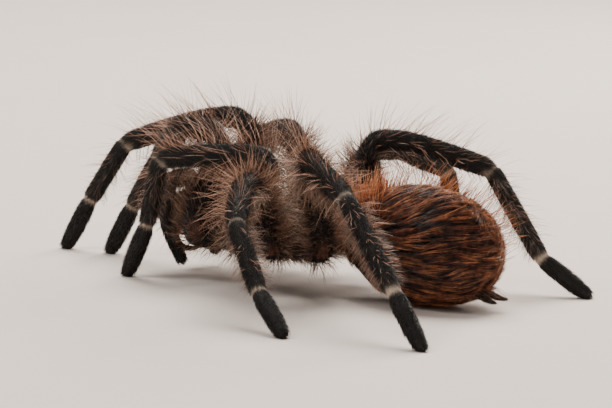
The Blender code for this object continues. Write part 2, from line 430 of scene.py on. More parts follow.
# rounded shapes that fill out the trunk: part, centre, half size, fullness, points round and down
trunkFillers = (
    ("sternum", (0, 0, 8.9), (4.3, 7.9, 2.7), 0.7, 40, 24),
    ("sternum", (0, -0.6, 9.9), (7.4, 9.6, 3.5), 1.0, 40, 24),
    ("carapace", (0, -12.6, 12.6), (4.4, 3.0, 3.2), 1.0, 32, 20),
    ("carapace", (0, -9.9, 18.1), (1.55, 0.95, 0.65), 1.0, 24, 16),  # the mound under the eyes
    ("pedicel", (0, 11.2, 9.3), (1.5, 4.6, 1.4), 1.0, 24, 24),
)
spinneretPath = (
    (1.8, 42.4, 4.4, 0.9),
    (2.0, 44.4, 3.5, 0.78),
    (2.3, 45.9, 2.9, 0.66),
    (2.6, 47.2, 2.6, 0.48),
    (2.8, 48.2, 2.7, 0.25),
)

limbs = {f"{limb}_{side}": limbPath(limb, side) for side in ("L", "R") for limb in hips}
limbNames = list(limbs)
trunkNames = [
    "carapace", "abdomen", "chelicera_L", "chelicera_R", "sternum", "pedicel", "spinneret_L", "spinneret_R",
]
partNames = limbNames + trunkNames

# where each part's hair lies on the flat unwrap: left, bottom, width, height
unwrapPlan = {name: (0.052 * k + 0.004, 0.01, 0.046, 0.98) for k, name in enumerate(limbNames)}
unwrapPlan.update({
    "abdomen": (0.53, 0.46, 0.46, 0.53),
    "carapace": (0.53, 0.21, 0.26, 0.23),
    "chelicera_L": (0.80, 0.21, 0.09, 0.23),
    "chelicera_R": (0.90, 0.21, 0.09, 0.23),
    "sternum": (0.53, 0.01, 0.24, 0.18),
    "pedicel": (0.78, 0.01, 0.06, 0.18),
    "spinneret_L": (0.85, 0.01, 0.06, 0.18),
    "spinneret_R": (0.92, 0.01, 0.06, 0.18),
})

skinPlan = {
    "voxel": 0.42,
    "relaxFactor": 0.5,
    "relaxRounds": 3,
    "floorGap": 0.05,  # lowest height of the skin
}


def buildSkin():
    # all flesh as overlapping closed shapes, made one by a voxel remesh. Each point keeps its nearest part
    parts, shapes = [], []
    for name, path in limbs.items():
        parts.append(name)
        shapes.append(tube(path["place"], path["tangent"], path["back"], path["radius"], limbPlan["sides"]))
    parts += ["carapace", "abdomen"]
    shapes += [ball(carapaceShape, 72, 40), ball(abdomenShape, 88, 56)]
    for side, sign in (("L", 1), ("R", -1)):
        parts += [f"chelicera_{side}", f"spinneret_{side}"]
        shapes += [ball(partial(jawShape, sign=sign), 40, 26), hornTube(spinneretPath, sign)]
    for name, centre, half, power, segments, rows in trunkFillers:
        parts.append(name)
        shapes.append(ball(ellipsoid(centre, half, power), segments, rows))
    verts, faces = joined(shapes)
    owners = np.repeat([partNames.index(name) for name in parts], [len(points) for points, _ in shapes])
    flesh = makeObject("flesh", makeMesh("flesh", verts, faces))
    remesh = flesh.modifiers.new("oneSkin", "REMESH")
    remesh.mode = "VOXEL"
    remesh.voxel_size = skinPlan["voxel"]
    remesh.use_smooth_shade = True
    relax = flesh.modifiers.new("relax", "SMOOTH")
    relax.factor = skinPlan["relaxFactor"]
    relax.iterations = skinPlan["relaxRounds"]
    skin = evaluatedMesh(flesh)
    bpy.data.objects.remove(flesh)
    tree = kdtree.KDTree(len(verts))
    for k, v in enumerate(verts):
        tree.insert(v, k)
    tree.balance()
    return skin, np.array([owners[tree.find(v.co)[1]] for v in skin.vertices])


def readVectors(items, field):
    found = np.empty(len(items) * 3, np.float32)
    items.foreach_get(field, found)
    return found.reshape(-1, 3).astype(float)


def readWhole(items, field):
    found = np.empty(len(items), int)
    items.foreach_get(field, found)
    return found


def storeValues(mesh, name, values, kind="FLOAT", domain="POINT"):
    layer = mesh.attributes.get(name) or mesh.attributes.new(name, kind, domain)
    field = "vector" if kind in ("FLOAT_VECTOR", "FLOAT2") else "value"
    layer.data.foreach_set(field, np.ascontiguousarray(values, np.float32).ravel())


print("shaping the skin")
skinMesh, owner = buildSkin()
skinPoints = readVectors(skinMesh.vertices, "co")
skinPoints[:, 2] = np.maximum(skinPoints[:, 2], skinPlan["floorGap"])
skinMesh.vertices.foreach_set("co", skinPoints.astype(np.float32).ravel())
skinMesh.update()
skinNormals = readVectors(skinMesh.vertex_normals, "vector")
corners = readWhole(skinMesh.loops, "vertex_index")
faceStarts = readWhole(skinMesh.polygons, "loop_start")
faceCorners = readWhole(skinMesh.polygons, "loop_total")
print("skin", len(skinPoints), "points", len(faceStarts), "faces")


def trunkCoordinates(name, points):
    # turn about the long axis and distance along it, 0 to 1
    low, high = points.min(axis=0), points.max(axis=0)
    centre = (low + high) / 2
    if name in ("carapace", "sternum"):
        # flat parts: turn about Z, from the middle of the underside out to the rim and in over the top
        turn = np.arctan2(points[:, 0] - centre[0], -(points[:, 1] - centre[1]))
        reach = np.hypot(points[:, 0] - centre[0], points[:, 1] - centre[1])
        rimHeight = low[2] + 0.45 * (high[2] - low[2])
        inward = (1 - reach / reach.max()) * np.sign(points[:, 2] - rimHeight)
        return turn, np.clip(0.5 + 0.45 * inward, 0, 1)
    if name == "abdomen":
        centre = np.array(abdomenPlan["centre"]) + np.array(bodyShift)
    turn = np.arctan2(points[:, 0] - centre[0], -(points[:, 2] - centre[2]))
    return turn, (points[:, 1] - low[1]) / (high[1] - low[1])


def unwrapSkin():
    # every face takes its first point's part, and is kept whole across that part's seam
    firstOwner = np.repeat(owner[corners[faceStarts]], faceCorners)
    faceOf = np.repeat(np.arange(len(faceStarts)), faceCorners)
    places = np.zeros((len(corners), 2))
    for k, name in enumerate(partNames):
        chosen = np.nonzero(firstOwner == k)[0]
        points = skinPoints[corners[chosen]]
        if name in limbs:
            run, _, turn, _ = limbCoordinates(limbs[name], points)
            along = np.clip(run / limbs[name]["run"][-1], 0, 1)
        else:
            turn, along = trunkCoordinates(name, points)
        lead = turn[np.searchsorted(faceOf[chosen], faceOf[chosen])]
        turn = lead + (turn - lead + np.pi) % (2 * np.pi) - np.pi
        left, bottom, width, height = unwrapPlan[name]
        places[chosen, 0] = left + width * np.clip(turn / (2 * np.pi) + 0.5, -0.01, 1.01)
        places[chosen, 1] = bottom + height * along
    return places


skinPlaces = unwrapSkin()

# what every hair reads from the skin: where it is and which way it lies. Joint counts run from 0 at the hip:
# 1 ends the coxa, 2 is the knee, 3, 4 and 5 end the patella, tibia and metatarsus, and 6 is the tip
pointCount = len(skinPoints)
joint = np.full(pointCount, -1.0)
around = np.zeros(pointCount)  # degrees from the limb's back, either way
comb = np.zeros((pointCount, 3))
for k, name in enumerate(limbNames):
    chosen = owner == k
    _, joint[chosen], turn, comb[chosen] = limbCoordinates(limbs[name], skinPoints[chosen])
    around[chosen] = np.abs(np.degrees(turn))
localX, localY, localZ = (skinPoints - np.array(bodyShift)).T  # mm, from the trunk's own axis


def among(*names):
    return np.isin(owner, [partNames.index(name) for name in names])


onLeg = among(*(name for name in limbNames if name.startswith("leg")))
onPalp = among("palp_L", "palp_R")
onCarapace, onAbdomen = among("carapace"), among("abdomen")
onSternum, onPedicel = among("sternum"), among("pedicel")
onJaw = among("chelicera_L", "chelicera_R")
onSpinneret = among("spinneret_L", "spinneret_R")

# abdomen hair streams back in waves and climbs towards the top
abdomenComb = {
    "halfHeight": 11.0,
    "heights": (-1, -0.5, -0.1, 0.3, 0.65, 1),  # from the abdomen's foot to its top
    "climb": (6, -2, 4, 20, 36, 42),  # degrees at those heights
    "frontFall": 22,  # degrees less on the front of its lower half
    "frontRange": (19, 29),  # Y over which the front ends
    "lowerRange": (-0.3, 0.25),  # heights over which the lower half ends
    "waves": ((9, 0.5, 0.3, 0.0), (6, 1.3, -0.8, 2.0), (4, 0.7, 1.9, 0.0)),  # degrees, by Y, by Z, phase
    "parting": 0.55,  # how far hair on top leans to the middle
    "partingRange": (0.3, 4.0),  # mm from the middle over which the lean comes in
    "topRange": (0.1, 0.8),  # heights over which the top begins
}


def combTrunk():
    # carapace hair rays out from its dip
    out = np.stack([localX, localY - carapacePlan["dipAt"], np.full(pointCount, -1.0)], axis=1)
    comb[onCarapace] = out[onCarapace]
    plan = abdomenComb
    height = np.clip((localZ - abdomenPlan["centre"][2]) / plan["halfHeight"], -1, 1)
    climb = np.interp(height, plan["heights"], plan["climb"])
    front = plan["frontFall"] * fallOff(localY, *plan["frontRange"])
    climb -= front * fallOff(height, *plan["lowerRange"])
    for size, byY, byZ, phase in plan["waves"]:
        climb += size * np.sin(byY * localY + byZ * localZ + phase)
    climb = np.radians(climb)
    onTop = smoothStep(np.abs(localX), *plan["partingRange"]) * smoothStep(height, *plan["topRange"])
    inward = -plan["parting"] * np.sign(localX) * onTop
    comb[onAbdomen] = np.stack([inward, np.cos(climb), np.sin(climb)], axis=1)[onAbdomen]
    comb[onSternum] = (0.0, 1.0, -0.2)
    comb[onPedicel] = (0.0, 1.0, 0.0)
    comb[onSpinneret] = (0.0, 1.0, 0.1)
    comb[onJaw] = (0.0, -1.0, -0.75)
    comb[:] = unit(comb - skinNormals * dot(comb, skinNormals)[:, None])


combTrunk()

# cream rings at the two last joints of each leg, and pale skin under the end of the tibia
ringPlan = {
    "last": 4.985,  # places and widths are in joint counts
    "lastWidth": 0.024,
    "hindWidth": 0.034,
    "upper": 4.0,
    "upperWidth": 0.016,
    "upperShare": 0.5,  # share of the ring's cream
    "under": 3.96,
    "underWidth": 0.045,
    "underShare": 0.6,
    "underAngles": (70, 130),
    "flush": 1.02,  # pinkish soft skin past the coxa
    "flushWidth": 0.10,
    "flushShare": 0.8,
}
lastWidth = np.where(among("leg4_L", "leg4_R"), ringPlan["hindWidth"], ringPlan["lastWidth"])
lastRing = bump(joint, ringPlan["last"], lastWidth)
upperRing = ringPlan["upperShare"] * bump(joint, ringPlan["upper"], ringPlan["upperWidth"])
underTibia = ringPlan["underShare"] * bump(joint, ringPlan["under"], ringPlan["underWidth"])
underTibia *= smoothStep(around, *ringPlan["underAngles"])
pale = np.where(onLeg, upperRing + lastRing + underTibia, 0.0)
flush = np.where(onLeg | onPalp, bump(joint, ringPlan["flush"], ringPlan["flushWidth"]), 0.0)
# the skin under the abdomen's hair and on the spinnerets: dulled, and darkened as a painted shade between the
# locks
rustAndShade = np.where(onAbdomen | onSpinneret, 1.0, 0.0)


def hairPatch(name, weight, reach):
    # copy of the skin where this coat grows, with what its hairs read
    bald = 0.01  # weight up to which nothing grows
    weight = np.asarray(weight, float)
    reach = np.broadcast_to(reach, pointCount)
    grown = np.maximum.reduceat(weight[corners], faceStarts) > bald
    keep = np.repeat(grown, faceCorners)
    used, index = np.unique(corners[keep], return_inverse=True)
    faces = np.split(index, np.cumsum(faceCorners[grown])[:-1])
    mesh = makeMesh(name, skinPoints[used].tolist(), [face.tolist() for face in faces])
    storeValues(mesh, "weight", weight[used])
    storeValues(mesh, "reach", reach[used])
    storeValues(mesh, "pale", pale[used])
    storeValues(mesh, "comb", comb[used], "FLOAT_VECTOR")
    storeValues(mesh, "place", skinPlaces[keep], "FLOAT2", "CORNER")
    return makeObject(name, mesh)


def strandMesh(name, rows, belly=0.15, taper=0.6):
    # closed three-sided hair: x and y across in half-widths, z along it from 0 to 1
    verts, faces = [], []
    for i in range(rows):
        t = i / rows
        wide = (1 - t) ** taper * (1 + belly * math.sin(math.pi * t))
        for k in range(3):
            turn = 2 * math.pi * k / 3 + math.pi / 2
            verts.append((math.cos(turn) * wide, math.sin(turn) * wide, t))
    verts.append((0, 0, 1))
    for i in range(rows - 1):
        for k in range(3):
            n = (k + 1) % 3
            faces.append((i * 3 + k, i * 3 + n, i * 3 + 3 + n, i * 3 + 3 + k))
    top = rows * 3 - 3
    for k in range(3):
        faces.append((top + k, top + (k + 1) % 3, rows * 3))
    faces.append((2, 1, 0))
    mesh = makeMesh(name, verts, faces)
    storeValues(mesh, "local", np.array(verts), "FLOAT_VECTOR")
    return makeObject(name, mesh)


# real hairs are too fine to show, so most of these are as thick as a small tuft of them
strands = {
    "stub": strandMesh("stub", 1),
    "short": strandMesh("short", 2),
    "bristle": strandMesh("bristle", 4),
    "lock": strandMesh("lock", 4, belly=0.5),
}

coatInputs = (
    ("Skin", "Geometry", None),
    ("Body", "Object", None),
    ("Strand", "Object", None),
    ("Density", "Float", 10.0),  # hairs per square mm
    ("Seed", "Int", 1),
    ("Width", "Float", 0.05),  # half a hair's width, mm
    ("Width Spread", "Float", 0.3),
    ("Root Lift", "Float", 15.0),  # degrees off the skin
    ("Tip Lift", "Float", 20.0),
    ("Lift Spread", "Float", 8.0),
    ("Length Spread", "Float", 0.25),
    ("Angle Spread", "Float", 12.0),
    ("Clump Density", "Float", 0.5),  # locks per square mm
    ("Clump Pull", "Float", 0.0),
    ("Clump Reach", "Float", 0.75),  # share of the hair by which it has reached its guide
    ("Clump Tone", "Float", 0.5),  # share of a hair's tone and height that its whole lock has
    ("Edge Shade", "Float", 0.0),  # painted shade, as tone, and height that a hair at its lock's edge has lost
    ("Curl", "Float", 0.0),  # mm
    ("Curl Turns", "Float", 1.0),
    ("Droop", "Float", 0.0),  # fall at the tip, of the hair's length
    ("Follow", "Float", 0.0),  # 1 keeps the hair at its height over the skin
    ("Loft", "Float", 0.0),  # depth of a lock, mm
    ("Material", "Material", None),
)
coatPlan = {
    "guideSeed": 71.0,  # added to a coat's own seed for its guides
    "lockCore": 0.2,  # where a lock's painted edge shade starts, from its guide, of the guides' spacing
    "lockEdge": 0.65,
    "bakePatch": 0.003,  # width of a hair's patch on the unwrap
    "floorGap": 0.03,  # lowest height of a hair
    "nowhere": -500.0,  # lower than any place, so that it holds nothing back
}


def coatTree():
    tree = bpy.data.node_groups.new("hairCoat", "GeometryNodeTree")
    for name, kind, value in coatInputs:
        socket = tree.interface.new_socket(name, in_out="INPUT", socket_type=f"NodeSocket{kind}")
        if value is not None:
            socket.default_value = value
    tree.interface.new_socket("Coat", in_out="OUTPUT", socket_type="NodeSocketGeometry")
    put = partial(addNode, tree)
    given = put("NodeGroupInput").outputs

    def moved(place, *steps):
        for way, distance in steps:
            step = put("ShaderNodeVectorMath", {0: way, 3: distance}, operation="SCALE")
            place = put("ShaderNodeVectorMath", (place, step), operation="ADD")
        return place

    def polar(angle, length):
        parts = []
        for operation in ("COSINE", "SINE"):
            part = put("ShaderNodeMath", (angle,), operation=operation)
            parts.append(put("ShaderNodeMath", (part, length), operation="MULTIPLY"))
        return parts

    # roots over the skin, and fewer guides that hairs gather to
    weight = put("GeometryNodeInputNamedAttribute", ("weight",), data_type="FLOAT")
    dense = put("ShaderNodeMath", (weight, given["Density"]), operation="MULTIPLY")
    sparse = put("ShaderNodeMath", (weight, given["Clump Density"]), operation="MULTIPLY")
    roots = put("GeometryNodeDistributePointsOnFaces", {0: given["Skin"], 4: dense, 6: given["Seed"]})
    guideSeed = put("ShaderNodeMath", (given["Seed"], coatPlan["guideSeed"]), operation="ADD")
    guides = put("GeometryNodeDistributePointsOnFaces", {0: given["Skin"], 4: sparse, 6: guideSeed})
    here = put("GeometryNodeInputPosition")
    nearest = put("GeometryNodeSampleNearest", (guides, here))
    guidePlace = put("GeometryNodeSampleIndex", (guides, here, nearest), data_type="FLOAT_VECTOR")
    toGuide = put("ShaderNodeVectorMath", (guidePlace, here), operation="SUBTRACT")
    chance = {}
    for k, name in enumerate(("spin", "size", "rise", "tone", "phase", "breadth")):
        chance[name] = put("FunctionNodeRandomValue", {2: -1.0, 3: 1.0, 8: k + 3}).outputs[1]
    guideTone = put("GeometryNodeSampleIndex", (guides, chance["tone"], nearest), data_type="FLOAT")
    guidePhase = put("GeometryNodeSampleIndex", (guides, chance["phase"], nearest), data_type="FLOAT")
    shared = put("ShaderNodeMix", {0: given["Clump Tone"], 2: chance["tone"], 3: guideTone}).outputs[0]
    # hairs far from their guide sink towards the lock's edge and are darkened there as a painted shade
    apart = put("ShaderNodeVectorMath", (toGuide,), operation="LENGTH").outputs[1]
    spacing = put("ShaderNodeMath", (given["Clump Density"], 0.5), operation="POWER")
    edge = put("ShaderNodeMath", (apart, spacing), operation="MULTIPLY")
    core, rim = coatPlan["lockCore"], coatPlan["lockEdge"]
    edge = put("ShaderNodeMapRange", (edge, core, rim, 0.0, given["Edge Shade"]))
    shared = put("ShaderNodeMath", (shared, edge), operation="SUBTRACT")
    tone = put("ShaderNodeMath", (shared, 0.5, 0.5), operation="MULTIPLY_ADD")
    up = roots.outputs[1]
    combed = put("GeometryNodeInputNamedAttribute", ("comb",), data_type="FLOAT_VECTOR")
    spread = put("ShaderNodeMath", (given["Angle Spread"],), operation="RADIANS")
    spin = put("ShaderNodeMath", (chance["spin"], spread), operation="MULTIPLY")
    turned = put("ShaderNodeVectorRotate", {0: combed, 2: up, 3: spin}, rotation_type="AXIS_ANGLE")
    lie = put("ShaderNodeVectorMath", (turned,), operation="NORMALIZE")
    reach = put("GeometryNodeInputNamedAttribute", ("reach",), data_type="FLOAT")
    varied = put("ShaderNodeMath", (chance["size"], given["Length Spread"], 1.0), operation="MULTIPLY_ADD")
    span = put("ShaderNodeMath", (reach, varied), operation="MULTIPLY")
    drift = put("ShaderNodeVectorMath", {0: toGuide, 3: given["Clump Pull"]}, operation="SCALE")
    flow = roots.outputs[0]
    kept = (
        ("root", "FLOAT_VECTOR", here), ("lie", "FLOAT_VECTOR", lie), ("up", "FLOAT_VECTOR", up),
        ("drift", "FLOAT_VECTOR", drift), ("span", "FLOAT", span), ("tone", "FLOAT", tone),
        ("rise", "FLOAT", chance["rise"]), ("layer", "FLOAT", shared),
        ("phase", "FLOAT", guidePhase), ("breadth", "FLOAT", chance["breadth"]),
    )
    for name, kind, value in kept:
        flow = put("GeometryNodeStoreNamedAttribute", {0: flow, 2: name, 3: value}, data_type=kind)
    strand = put("GeometryNodeObjectInfo", (given["Strand"],)).outputs[4]
    flow = put("GeometryNodeInstanceOnPoints", {0: flow, 2: strand})
    flow = put("GeometryNodeRealizeInstances", (flow,))

    # bend each realised hair along its own lie
    read = {}
    for name, kind, _ in kept:
        read[name] = put("GeometryNodeInputNamedAttribute", (name,), data_type=kind)
    template = put("GeometryNodeInputNamedAttribute", ("local",), data_type="FLOAT_VECTOR")
    across = put("ShaderNodeSeparateXYZ", (template,)).outputs
    along = across[2]
    rootLift = (read["rise"], given["Lift Spread"], given["Root Lift"])
    rootLift = put("ShaderNodeMath", rootLift, operation="MULTIPLY_ADD")
    turnBy = put("ShaderNodeMath", (given["Tip Lift"], given["Root Lift"]), operation="SUBTRACT")
    halfWay = put("ShaderNodeMath", (along, 0.5), operation="MULTIPLY")
    chord = put("ShaderNodeMath", (turnBy, halfWay, rootLift), operation="MULTIPLY_ADD")
    chord = put("ShaderNodeMath", (chord,), operation="RADIANS")
    run = put("ShaderNodeMath", (read["span"], along), operation="MULTIPLY")
    flat, high = polar(chord, run)
    puff = put("ShaderNodeMath", (read["layer"], given["Loft"]), operation="MULTIPLY")
    puff = put("ShaderNodeMath", (puff, given["Loft"]), operation="ADD")
    high = put("ShaderNodeMath", (puff, along, high), operation="MULTIPLY_ADD")
    gather = (along, 0.0, given["Clump Reach"])
    gather = put("ShaderNodeMapRange", gather, interpolation_type="SMOOTHSTEP")
    ground = moved(read["root"], (read["lie"], flat), (read["drift"], gather))

    # heights are over the root's own plane or, with Follow, over the skin below the hair
    body = put("GeometryNodeObjectInfo", (given["Body"],)).outputs[4]
    nearSkin = "GeometryNodeSampleNearestSurface"
    normal = put("GeometryNodeInputNormal")
    surface = put(nearSkin, {0: body, 1: here, 3: ground}, data_type="FLOAT_VECTOR")
    facing = put(nearSkin, {0: body, 1: normal, 3: ground}, data_type="FLOAT_VECTOR")
    base = put("ShaderNodeMix", {0: given["Follow"], 4: ground, 5: surface}, data_type="VECTOR").outputs[1]
    lift = put("ShaderNodeMix", {0: given["Follow"], 4: read["up"], 5: facing}, data_type="VECTOR").outputs[1]

    # the hair's own cross axes, its thickness and its curl
    side = put("ShaderNodeVectorMath", (lift, read["lie"]), operation="CROSS_PRODUCT")
    side = put("ShaderNodeVectorMath", (side,), operation="NORMALIZE")
    heading = put("ShaderNodeMath", (turnBy, along, rootLift), operation="MULTIPLY_ADD")
    heading = put("ShaderNodeMath", (heading,), operation="RADIANS")
    cosine = put("ShaderNodeMath", (heading,), operation="COSINE")
    sine = put("ShaderNodeMath", (heading,), operation="SINE")
    sine = put("ShaderNodeMath", (sine, -1.0), operation="MULTIPLY")
    over = put("ShaderNodeVectorMath", {0: lift, 3: cosine}, operation="SCALE")
    over = moved(over, (read["lie"], sine))
    thick = put("ShaderNodeMath", (read["breadth"], given["Width Spread"], 1.0), operation="MULTIPLY_ADD")
    thick = put("ShaderNodeMath", (thick, given["Width"]), operation="MULTIPLY")
    cycle = put("ShaderNodeMath", (along, given["Curl Turns"], read["phase"]), operation="MULTIPLY_ADD")
    cycle = put("ShaderNodeMath", (cycle, 2 * math.pi), operation="MULTIPLY")
    sway = put("ShaderNodeMath", (given["Curl"], along), operation="MULTIPLY")
    bob, swing = polar(cycle, sway)
    wide = put("ShaderNodeMath", (across[0], thick, swing), operation="MULTIPLY_ADD")
    deep = put("ShaderNodeMath", (across[1], thick, bob), operation="MULTIPLY_ADD")
    fall = put("ShaderNodeMath", (run, along), operation="MULTIPLY")
    fall = put("ShaderNodeMath", (fall, given["Droop"]), operation="MULTIPLY")
    spot = moved(base, (lift, high), (side, wide), (over, deep), ((0.0, 0.0, -1.0), fall))
    lowest = (coatPlan["nowhere"], coatPlan["nowhere"], coatPlan["floorGap"])
    spot = put("ShaderNodeVectorMath", (spot, lowest), operation="MAXIMUM")
    flow = put("GeometryNodeSetPosition", {0: flow, 2: spot})

    # each hair is a small patch at its root's place on the skin's unwrap
    place = put("GeometryNodeInputNamedAttribute", ("place",), data_type="FLOAT_VECTOR")
    patch = put("ShaderNodeVectorMath", (template, (0.0, 0.0, -0.5)), operation="ADD")
    cut = put("ShaderNodeSeparateXYZ", (patch,)).outputs
    flatPatch = put("ShaderNodeCombineXYZ", (cut[0], cut[2]))
    bake = {0: flow, 2: "OFBake", 3: moved(place, (flatPatch, coatPlan["bakePatch"]))}
    flow = put("GeometryNodeStoreNamedAttribute", bake, data_type="FLOAT2", domain="CORNER")
    flow = put("GeometryNodeStoreNamedAttribute", {0: flow, 2: "along", 3: along}, data_type="FLOAT")
    flow = put("GeometryNodeSetMaterial", {0: flow, 2: given["Material"]})
    put("NodeGroupOutput", (flow,))
    return tree


hairCoat = coatTree()
socketOf = {item.name: item.identifier for item in hairCoat.interface.items_tree if item.in_out == "INPUT"}
bodySurface = makeObject("bodySurface", skinMesh.copy())
coatTriangles = {}
workings = (
    "root", "lie", "up", "drift", "span", "rise", "layer", "phase", "breadth", "local", "place", "comb",
    "weight", "reach",
)


def growCoat(name, weight, reach, strand, material, settings):
    patch = hairPatch(name, weight, reach)
    coat = patch.modifiers.new("hair", "NODES")
    coat.node_group = hairCoat
    given = {"Body": bodySurface, "Strand": strands[strand], "Material": material, **settings}
    for key, value in given.items():
        coat[socketOf[key]] = value
    mesh = evaluatedMesh(patch)
    bpy.data.objects.remove(patch)
    for working in workings:
        if working in mesh.attributes:
            mesh.attributes.remove(mesh.attributes[working])
    coatTriangles[name] = sum(len(face.vertices) - 2 for face in mesh.polygons)
    print(name, coatTriangles[name], "triangles")
    finishPiece(name, mesh, material)


def principled(name, settings):
    made = bpy.data.materials.new(name)
    made.use_nodes = True
    shader = made.node_tree.nodes["Principled BSDF"]
    for key, value in settings.items():
        shader.inputs[key].default_value = value
    return made, made.node_tree, shader


def hairMaterial(name, look, settings):
    # root, middle and tip colours, each hair a little lighter or darker, cream where the skin's ring is
    # on the locks a hair's tone also holds the painted shade at their edges
    rootFade = 0.35  # share of the hair over which its root's colour goes
    darkest, lightest = 0.55, 1.45  # sums of tone and cloud between which a hair goes from dim to bright
    brightest = 1.15
    root, middle, tip, ring = (linear(look[key]) for key in ("root", "middle", "tip", "ring"))
    made, tree, shader = principled(name, settings)
    put = partial(addNode, tree)
    along = put("ShaderNodeAttribute", attribute_name="along").outputs[2]
    tone = put("ShaderNodeAttribute", attribute_name="tone").outputs[2]
    ringShare = put("ShaderNodeAttribute", attribute_name="pale").outputs[2]
    here = put("ShaderNodeTexCoord").outputs["Object"]
    cloud = put("ShaderNodeTexNoise", {"Vector": here, "Scale": 1 / (look["patch"] * mm), "Detail": 2.0})
    lower = put("ShaderNodeMapRange", (along, look["rootEnd"], look["rootEnd"] + rootFade))
    upper = put("ShaderNodeMapRange", (along, look["tipStart"], 1.0))
    shade = put("ShaderNodeMix", {0: lower, 6: root, 7: middle}, data_type="RGBA")
    fade = put("ShaderNodeMath", (tone, cloud.outputs[0]), operation="ADD")
    fade = put("ShaderNodeMapRange", (fade, darkest, lightest))
    tipShare = put("ShaderNodeMath", (upper, fade), operation="MULTIPLY")
    shade = put("ShaderNodeMix", {0: tipShare, 6: shade.outputs[2], 7: tip}, data_type="RGBA")
    dim = put("ShaderNodeMapRange", (fade, 0.0, 1.0, look["dim"], brightest))
    shade = put("ShaderNodeVectorMath", {0: shade.outputs[2], 3: dim}, operation="SCALE")
    shade = put("ShaderNodeMix", {0: ringShare, 6: shade, 7: ring}, data_type="RGBA")
    tree.links.new(shade.outputs[2], shader.inputs["Base Color"])
    return made


def cuticleMaterial():
    # tanned chitin under the coat: near black, dull rust under the abdomen's hair darkened nearly to black as
    # a painted shade in the gaps between the locks, cream at the rings and pinkish past the coxae. Its grain
    # is drawn coarser than a real one, which wouldn't show
    look = {
        "dark": "070606",
        "brown": "140d0a",
        # skin under the abdomen's hair, darkened nearly to black as a painted shade in the gaps between the
        # locks
        "rustAndShade": "080302",
        "rustAndShadeLighter": "150806",
        "ring": "d9c9b4",
        "flush": "a8705c",
        "cloud": 2.5,  # mm
        "cloudRange": (0.4, 0.65),
        "grain": 0.35,  # mm
        "grainRange": (0.3, 0.7),
        "glossy": 0.58,  # roughness between the grains and on them
        "matt": 0.78,
        "abdomenMatt": 0.9,
        "grainDepth": 0.06,  # mm
        "relief": 0.6,
    }
    made, tree, shader = principled("blackCuticle", {"IOR": 1.55})
    put = partial(addNode, tree)
    here = put("ShaderNodeTexCoord").outputs["Object"]
    cloud = put("ShaderNodeTexNoise", {"Vector": here, "Scale": 1 / (look["cloud"] * mm), "Detail": 3.0})
    grain = put("ShaderNodeTexNoise", {"Vector": here, "Scale": 1 / (look["grain"] * mm), "Detail": 2.0})
    patches = put("ShaderNodeMapRange", (cloud, *look["cloudRange"]))
    dark = {0: patches, 6: linear(look["dark"]), 7: linear(look["brown"])}
    shade = put("ShaderNodeMix", dark, data_type="RGBA")
    warm = {0: patches, 6: linear(look["rustAndShade"]), 7: linear(look["rustAndShadeLighter"])}
    warm = put("ShaderNodeMix", warm, data_type="RGBA").outputs[2]
    for zone, colour in (("rustAndShade", warm), ("pale", linear(look["ring"])), ("flush", linear(look["flush"]))):
        share = put("ShaderNodeAttribute", attribute_name=zone).outputs[2]
        shade = put("ShaderNodeMix", {0: share, 6: shade.outputs[2], 7: colour}, data_type="RGBA")
    tree.links.new(shade.outputs[2], shader.inputs["Base Color"])
    rough = put("ShaderNodeMapRange", (grain, *look["grainRange"], look["glossy"], look["matt"]))
    bellyShare = put("ShaderNodeAttribute", attribute_name="rustAndShade").outputs[2]
    dull = put("ShaderNodeMix", {0: bellyShare, 2: rough, 3: look["abdomenMatt"]})
    tree.links.new(dull.outputs[0], shader.inputs["Roughness"])
    relief = {"Height": grain, "Strength": look["relief"], "Distance": look["grainDepth"] * mm}
    relief = put("ShaderNodeBump", relief)
    tree.links.new(relief.outputs[0], shader.inputs["Normal"])
    return made


def glossMaterial(name, look, settings):
    # smooth hard chitin or lens, clouded a little in depth
    made, tree, shader = principled(name, settings)
    put = partial(addNode, tree)
    here = put("ShaderNodeTexCoord").outputs["Object"]
    cloud = put("ShaderNodeTexNoise", {"Vector": here, "Scale": 1 / (look["cloud"] * mm), "Detail": 3.0})
    shade = {0: cloud, 6: linear(look["dark"]), 7: linear(look["light"])}
    shade = put("ShaderNodeMix", shade, data_type="RGBA")
    tree.links.new(shade.outputs[2], shader.inputs["Base Color"])
    relief = {"Height": cloud, "Strength": look["relief"], "Distance": look["depth"] * mm}
    relief = put("ShaderNodeBump", relief)
    tree.links.new(relief.outputs[0], shader.inputs["Normal"])
    return made


blackCuticle = cuticleMaterial()
# short velvet of the legs: black-brown, with grey tips that catch a light line along each shank. The grey
# is partly the hairs' own and partly a painted sheen
legVelvet = hairMaterial(
    "legVelvet",
    {"root": "060505", "middle": "0e0d0b", "tip": "36322b", "ring": "e8d3c2",
     "rootEnd": 0.1, "tipStart": 0.5, "dim": 0.45, "patch": 3.0},
    {"Roughness": 0.38, "IOR": 1.55},
)
# long sensing bristles: brown at the root, pinkish tan and light at the tip
tanBristle = hairMaterial(
    "tanBristle",
    {"root": "7a4d36", "middle": "c6947a", "tip": "ecccb4", "ring": "ead9c6",
     "rootEnd": 0.0, "tipStart": 0.35, "dim": 0.8, "patch": 4.0},
    {"Roughness": 0.45, "IOR": 1.55},
)
# soft curly hair under the legs and on the thighs and the trunk's underside: dull tan brown
tanFringe = hairMaterial(
    "tanFringe",
    {"root": "21160f", "middle": "7a5640", "tip": "dab394", "ring": "dcc8b0",
     "rootEnd": 0.12, "tipStart": 0.42, "dim": 0.5, "patch": 3.0},
    {"Roughness": 0.5, "IOR": 1.55},
)
